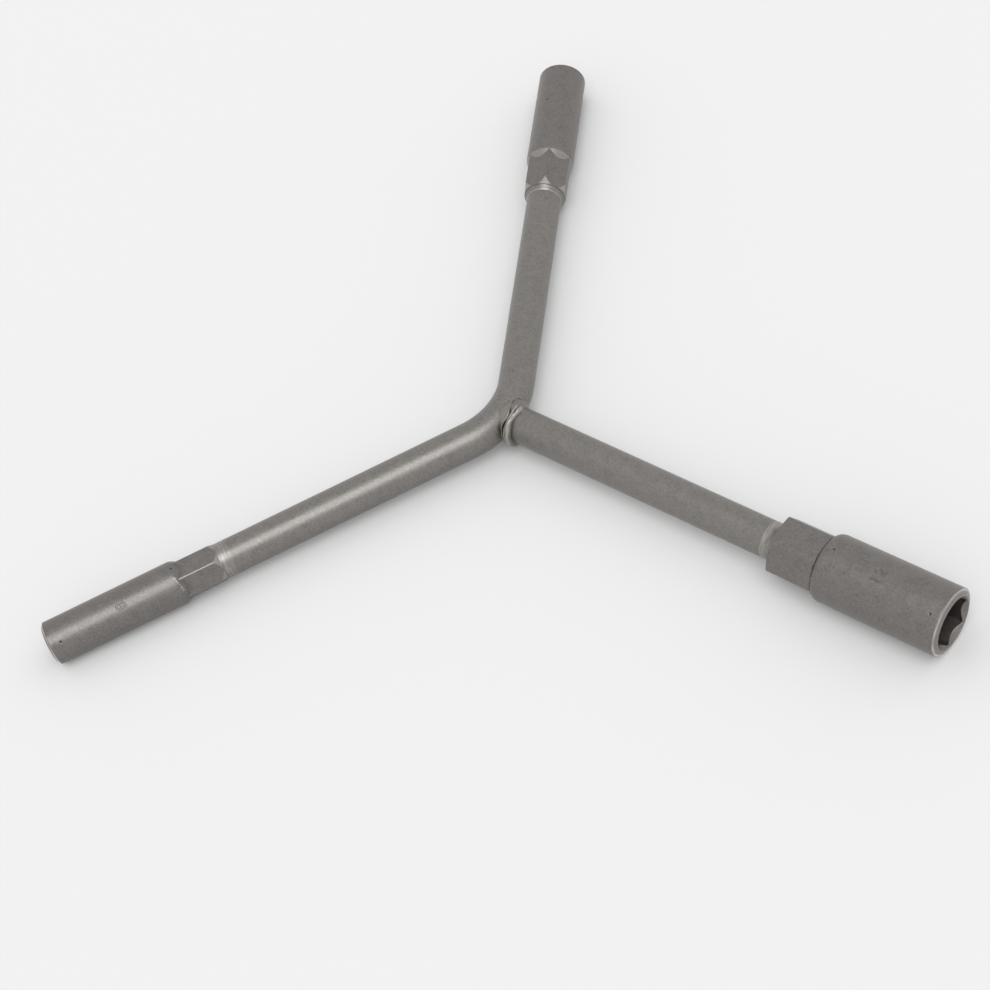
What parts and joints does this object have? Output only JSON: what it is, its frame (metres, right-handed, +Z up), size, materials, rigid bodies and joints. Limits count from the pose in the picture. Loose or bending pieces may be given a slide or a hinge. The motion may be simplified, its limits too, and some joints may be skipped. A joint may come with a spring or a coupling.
{
  "type": "y wrench",
  "caption": "Y-shaped hand wrench: round steel arms in one plane, welded at the middle, each ending in a hexagon socket of a different size.",
  "frame": {"origin": "the point where the three arm axes meet, in the middle plane of the arms", "axes": "+X out along the large socket's arm, +Z up out of the plane of the arms; the medium socket's arm is at +120 degrees about +Z, the small socket's at -120 degrees"},
  "size_m": [0.2094, 0.2384, 0.018],
  "materials": {
    "bar": "satin plated, blasted",
    "socket": "satin plated, blasted",
    "weld": "satin plated over turned or raw weld metal"
  },
  "bodies": {
    "root": {"bent_bar": "bar", "stem_bar": "bar", "junction_weld": "weld", "large_socket": "socket", "medium_socket": "socket", "small_socket": "socket", "large_weld": "weld", "medium_weld": "weld", "small_weld": "weld"}
  },
  "joints": []
}
